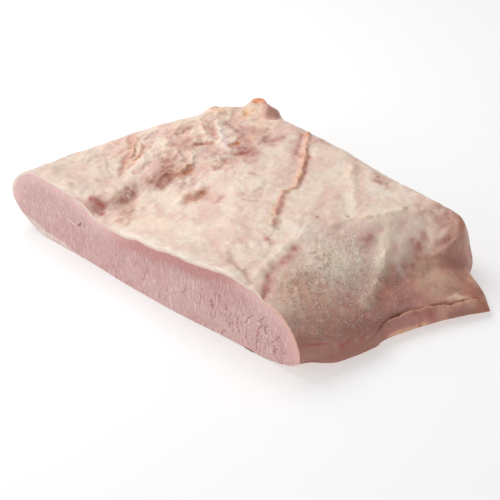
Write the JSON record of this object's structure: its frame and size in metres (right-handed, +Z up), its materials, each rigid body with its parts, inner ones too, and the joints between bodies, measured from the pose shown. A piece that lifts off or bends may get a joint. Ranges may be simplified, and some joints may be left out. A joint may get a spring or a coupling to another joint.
{
  "type": "cured boiled beef brisket half",
  "caption": "Half of a cured, boiled beef brisket with a flat cut face, an uneven fatty top with folds and a flat underside.",
  "frame": {"origin": "middle of the bounding box's underside, on the surface that the meat rests on", "axes": "+X along the cut face towards the thin end, +Y from the cut face into the meat, +Z up"},
  "size_m": [0.325, 0.1962, 0.0571],
  "materials": {
    "meat": "moist satin"
  },
  "bodies": {
    "root": {"brisket": "meat"}
  },
  "joints": []
}
